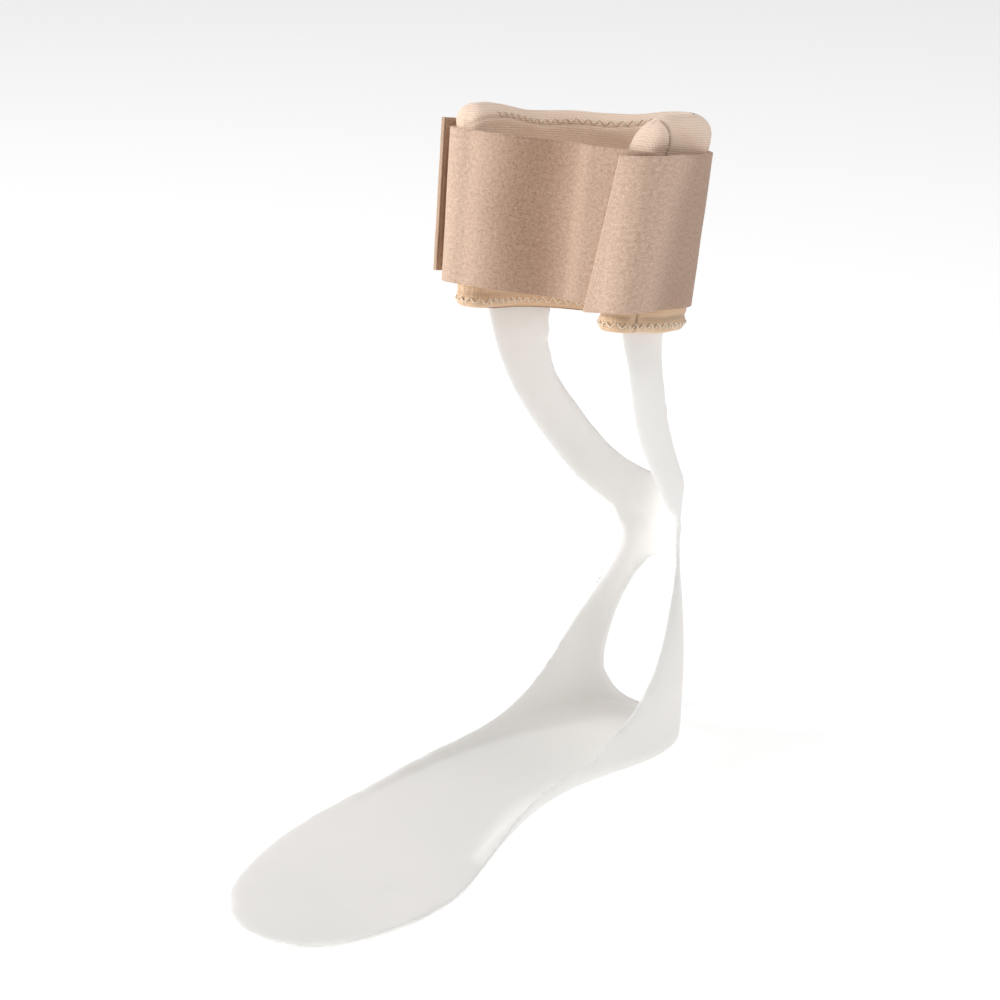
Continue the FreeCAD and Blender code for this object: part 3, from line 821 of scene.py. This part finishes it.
def hook_patch(name, path, s0, s1, low, high, thick, body, cad_node):
    """A thin tape on a path with a field of hooks on it."""
    spots, outs, along = path
    count, tall = max(2, round((s1 - s0) / 1.3) + 1), round((high - low) / 1.3) + 1

    def point(s, depth, z):
        x, y = (np.interp(s, along, spots[:, k]) for k in (0, 1))
        nx, ny = (np.interp(s, along, outs[:, k]) for k in (0, 1))
        return cuff(x + nx * depth, y + ny * depth, z)

    grids = []
    for depth, margin in ((0.0, 0.0), (thick, 0.0), (thick, 0.6)):
        grids.append([point(s0 + margin + (s1 - s0 - 2 * margin) * a / (count - 1), depth,
                            low + margin + (high - low - 2 * margin) * b / (tall - 1))
                      for a in range(count) for b in range(tall)])
    skin = grid_faces(count, tall, ring=False)
    size = count * tall
    border = ([a * tall for a in range(count)] + [(count - 1) * tall + b for b in range(1, tall)]
              + [a * tall + tall - 1 for a in range(count - 2, -1, -1)] + list(range(tall - 2, 0, -1)))
    side = [(p, q, q + size, p + size) for p, q in zip(border, border[1:] + border[:1])]
    faces = [tuple(reversed(f)) for f in skin] + [tuple(i + size for i in f) for f in skin] + side
    base = new_piece(name + "_tape", grids[0] + grids[1], faces, finishes=(hook_tape,))
    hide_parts(cad_node)
    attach(base, body)
    field = bpy.data.meshes.new(name)
    outwards = point(s0, 1, low) - point(s0, 0, low)
    first_turn = (grids[2][1] - grids[2][0]).cross(grids[2][tall] - grids[2][0])
    turned = skin if (outwards.dot(first_turn) < 0) == (thick > 0) else [tuple(reversed(f)) for f in skin]
    field.from_pydata([tuple(p) for p in grids[2]], [], turned)
    carrier = bpy.data.objects.new(name + "_field", field)
    bpy.context.scene.collection.objects.link(carrier)
    run_tree(name + "_hooks", carrier, hook_tree,
             {"Hook height": 0.00045, "Hook lean": 0.0003, "Hook thickness": 0.00007}, body)


under_wrap = plan_path([(inner_wing, band_r + WEB + 0.8, 360 + slope_deg - 50, 360 + slope_deg - 88)])
hook_patch("wrap_patch", under_wrap, 0.0, float(under_wrap[2][-1]), 19.0, 73.0, -0.3, "pad_body",
           "wrap_hook_patch")
inside_flap = (flap_spots, flap_outs, FLAP - flap_steps)
hook_patch("flap_patch", inside_flap, 1.0, 13.0, 21.0, 77.0, -0.3, "flap_body", "flap_hook_patch")

# %% [markdown]
# Two kinds of sewing hold the pad together. The hems are overlocked with a zigzag: a thread that runs
# from side to side and dives into the cloth at each turn. The belt is tacked to the back of the pad
# with short straight stitches. Both follow a line drawn on the surface, and each point of the line
# carries the directions out of the cloth and across it.

# %% Zigzag and straight stitches
zigzag, start, end, add = geometry_tree("zigzag", ["Half step", "Half width", "Thread radius", "Arch"])
line = add("GeometryNodeMeshToCurve", {0: start.outputs["Geometry"]})
turns = add("GeometryNodeResampleCurve", {"Curve": line.outputs[0], "Length": start.outputs["Half step"]},
            mode="LENGTH")
number = add("GeometryNodeInputIndex")
quarter = add("ShaderNodeMath", {0: number.outputs[0], 1: math.pi / 2}, operation="MULTIPLY")
swing = add("ShaderNodeMath", {0: quarter.outputs[0]}, operation="COSINE")
width = add("ShaderNodeMath", {0: swing.outputs[0], 1: start.outputs["Half width"]}, operation="MULTIPLY")
away = add("ShaderNodeMath", {0: swing.outputs[0]}, operation="ABSOLUTE")
low = add("ShaderNodeMath", {0: 0.55, 1: away.outputs[0]}, operation="SUBTRACT")
high = add("ShaderNodeMath", {0: low.outputs[0], 1: start.outputs["Arch"]}, operation="MULTIPLY")
out_dir = add("GeometryNodeInputNamedAttribute", {"Name": "out"}, data_type="FLOAT_VECTOR")
side_dir = add("GeometryNodeInputNamedAttribute", {"Name": "side"}, data_type="FLOAT_VECTOR")
sideways = add("ShaderNodeVectorMath", {0: side_dir.outputs[0], "Scale": width.outputs[0]}, operation="SCALE")
outwards = add("ShaderNodeVectorMath", {0: out_dir.outputs[0], "Scale": high.outputs[0]}, operation="SCALE")
move = add("ShaderNodeVectorMath", {0: sideways.outputs[0], 1: outwards.outputs[0]}, operation="ADD")
moved = add("GeometryNodeSetPosition", {"Geometry": turns.outputs[0], "Offset": move.outputs[0]})
section = add("GeometryNodeCurvePrimitiveCircle", {"Resolution": 5, "Radius": start.outputs["Thread radius"]})
body = add("GeometryNodeCurveToMesh", {"Curve": moved.outputs[0], "Profile Curve": section.outputs[0],
                                       "Fill Caps": True})
real = add("GeometryNodeRealizeInstances", {0: body.outputs[0]})
paint = add("GeometryNodeSetMaterial", {"Geometry": real.outputs[0], "Material": thread})
zigzag.links.new(paint.outputs[0], end.inputs[0])

running, start, end, add = geometry_tree("running_stitch", ["Pitch", "Stitch length", "Thread radius"])
line = add("GeometryNodeMeshToCurve", {0: start.outputs["Geometry"]})
marks = add("GeometryNodeResampleCurve", {"Curve": line.outputs[0], "Length": start.outputs["Pitch"]},
            mode="LENGTH")
bead = add("GeometryNodeMeshUVSphere", {"Segments": 6, "Rings": 5, "Radius": start.outputs["Thread radius"]})
share = add("ShaderNodeMath", {0: start.outputs["Stitch length"], 1: start.outputs["Thread radius"]},
            operation="DIVIDE")
half = add("ShaderNodeMath", {0: share.outputs[0], 1: 0.5}, operation="MULTIPLY")
shape = add("ShaderNodeCombineXYZ", {0: half.outputs[0], 1: 1.0, 2: 1.0})
run = add("GeometryNodeInputTangent")
turn = add("FunctionNodeAlignRotationToVector", {"Vector": run.outputs[0]}, axis="X")
place = add("GeometryNodeInstanceOnPoints", {"Points": marks.outputs[0], "Instance": bead.outputs[0],
                                             "Rotation": turn.outputs[0], "Scale": shape.outputs[0]})
real = add("GeometryNodeRealizeInstances", {0: place.outputs[0]})
paint = add("GeometryNodeSetMaterial", {"Geometry": real.outputs[0], "Material": thread})
running.links.new(paint.outputs[0], end.inputs[0])

# %% [markdown]
# The lines of stitches are carrier meshes of plain edges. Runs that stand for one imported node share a
# carrier, so each kind of sewing becomes one piece.

# %% A carrier for stitch lines
def stitch_carrier(name, runs):
    """A mesh of open lines; each run is a list of (point, out, side)."""
    verts, edges, outs, sides = [], [], [], []
    for run in runs:
        first = len(verts)
        for point, out, side in run:
            verts.append(tuple(point))
            outs.extend(out)
            sides.extend(side)
        edges += [(k, k + 1) for k in range(first, len(verts) - 1)]
    mesh = bpy.data.meshes.new(name)
    mesh.from_pydata(verts, edges, [])
    mesh.attributes.new("out", "FLOAT_VECTOR", "POINT").data.foreach_set("vector", outs)
    mesh.attributes.new("side", "FLOAT_VECTOR", "POINT").data.foreach_set("vector", sides)
    carrier = bpy.data.objects.new(name, mesh)
    bpy.context.scene.collection.objects.link(carrier)
    return carrier


# %% [markdown]
# One zigzag runs right round the foot of the pad. Another runs inside, just under the round top edge,
# where the terry is folded over the foam, so it faces inwards and up.

# %% Zigzag seams of the pad
hem_run = []
hem_z = PAD_LOW + HEM_STITCH
hem_in, hem_out = (pad_loop(HALF_WALL + gap, low=outer_end(8)) for gap in (0.1, 1.1))
for inner, outer in zip(hem_in, hem_out):
    here, beyond = cuff(*on_u(*inner), hem_z), cuff(*on_u(*outer), hem_z)
    hem_run.append((here, (beyond - here).normalized(), CUFF_UP))
hem_line = stitch_carrier("hem_line", [hem_run + hem_run[:1]])
run_tree("hem_thread", hem_line, zigzag,
         {"Half step": 0.0011, "Half width": 0.0012, "Thread radius": 0.0003, "Arch": 0.0010},
         "pad_body", ("hem_stitches",))
tilt = math.asin((HALF_WALL - ROLL_STITCH) / HALF_WALL)
roll_run = []
for k in range(161):
    s = OUTER_END + 5 + (inner_end(99) - 6 - OUTER_END) * k / 160
    x, y = on_u(s, -HALF_WALL * math.cos(tilt) - 0.1)
    inward = (cuff(*on_u(s, -HALF_WALL - 1), 0) - cuff(*on_u(s, -HALF_WALL), 0)).normalized()
    roll_run.append((cuff(x, y, pad_top(s) - ROLL_STITCH), inward * math.cos(tilt) + CUFF_UP * math.sin(tilt),
                     CUFF_UP * math.cos(tilt) - inward * math.sin(tilt)))
roll_line = stitch_carrier("roll_line", [roll_run])
run_tree("roll_thread", roll_line, zigzag,
         {"Half step": 0.0012, "Half width": 0.0012, "Thread radius": 0.00028, "Arch": 0.0010},
         "pad_body", ("top_stitches",))

# %% [markdown]
# Two upright rows tack the belt to the back of the pad, and a short row closes the boxed end of each
# wing above the strap.

# %% Straight stitches of belt and wings
back_runs = []
for x in (-1.2, 1.2):
    back_runs.append([(cuff(x, PAD_OUTER + WEB + 0.25, STRAP_LOW + 3 + 56 * k / 20), CUFF_BACK, CUFF_UP)
                      for k in range(21)])
run_tree("belt_thread", stitch_carrier("belt_line", back_runs), running,
         {"Pitch": 0.0031, "Stitch length": 0.0022, "Thread radius": 0.00028}, "pad_body",
         ("belt_stitches",))
wing_runs = []
for end_s, sign in ((inner_end(84), 1), (OUTER_END, -1)):
    x, y = on_u(end_s - sign * WING_SEAM, HALF_WALL - 0.6)
    out = (cuff(*on_u(end_s - sign * WING_SEAM, HALF_WALL + 1), 0) - cuff(x, y, 0)).normalized()
    lowest = STRAP_LOW + STRAP_HEIGHT - 3
    wing_runs.append([(cuff(x, y, lowest + 10 * k / 12), out, CUFF_UP) for k in range(13)])
run_tree("wing_thread", stitch_carrier("wing_line", wing_runs), running,
         {"Pitch": 0.0024, "Stitch length": 0.0015, "Thread radius": 0.00022}, "pad_body",
         ("medial_wing_seam", "lateral_wing_seam"))

# %% [markdown]
# ## Floor, light and camera
# A plain pale floor carries the orthosis. The main soft light stands in front of it on its outer side,
# a second one is above, and a faint one and the bright surroundings fill in from the inner side. The
# camera looks down a little from the front and the inner side.

# %% Floor and light
floor_mesh = bpy.data.meshes.new("floor")
corners = [(-6, -6), (6, -6), (6, 6), (-6, 6)]
floor_mesh.from_pydata([(x, y, -0.0004) for x, y in corners], [], [(0, 1, 2, 3)])
floor = bpy.data.objects.new("floor", floor_mesh)
bpy.context.scene.collection.objects.link(floor)
pale = Finish("pale_floor")
at = pale.node("ShaderNodeTexCoord", None, None, "Object")
floor_mesh.materials.append(pale.finish(
    Base_Color=pale.mix(pale.noise(at, 3.0), srgb(250, 250, 250), srgb(253, 253, 253)), Roughness=0.9,
    Emission_Color=(1, 1, 1, 1), Emission_Strength=0.36))

world = bpy.data.worlds.new("studio")
world.use_nodes = True
world.node_tree.nodes["Background"].inputs[0].default_value = (1, 1, 1, 1)
world.node_tree.nodes["Background"].inputs[1].default_value = 0.34
bpy.context.scene.world = world


def soft_light(name, place, target, size, power):
    """A square area light that faces a point."""
    lamp = bpy.data.lights.new(name, "AREA")
    lamp.size, lamp.energy = size, power
    holder = bpy.data.objects.new(name, lamp)
    bpy.context.scene.collection.objects.link(holder)
    holder.location = place
    holder.rotation_mode = "QUATERNION"
    holder.rotation_quaternion = (Vector(target) - Vector(place)).to_track_quat("-Z", "Y")


soft_light("left_panel", (-1.1, -1.25, 0.55), (0, 0, 0.15), 0.6, 18)
soft_light("right_panel", (1.4, 0.2, 0.7), (0, 0, 0.15), 0.8, 1.6)
soft_light("top_panel", (0.2, 0.0, 1.7), (0, 0, 0.1), 1.0, 9)

# %% Camera
lens = bpy.data.cameras.new("camera")
lens.lens, lens.sensor_width, lens.sensor_fit = 115.9, 36.0, "HORIZONTAL"
lens.clip_start, lens.clip_end = 0.05, 50
camera = bpy.data.objects.new("camera", lens)
bpy.context.scene.collection.objects.link(camera)
azimuth, elevation, distance, target = math.radians(40), math.radians(22), 1.4, Vector((-0.060, 0.0, 0.095))
back = Vector((math.sin(azimuth) * math.cos(elevation), -math.cos(azimuth) * math.cos(elevation),
               math.sin(elevation)))
camera.location = target + back * distance
camera.rotation_mode = "QUATERNION"
camera.rotation_quaternion = (-back).to_track_quat("-Z", "Y")
bpy.context.scene.camera = camera
bpy.context.scene.view_settings.view_transform = "Standard"
print("camera at", [round(v, 3) for v in camera.location])
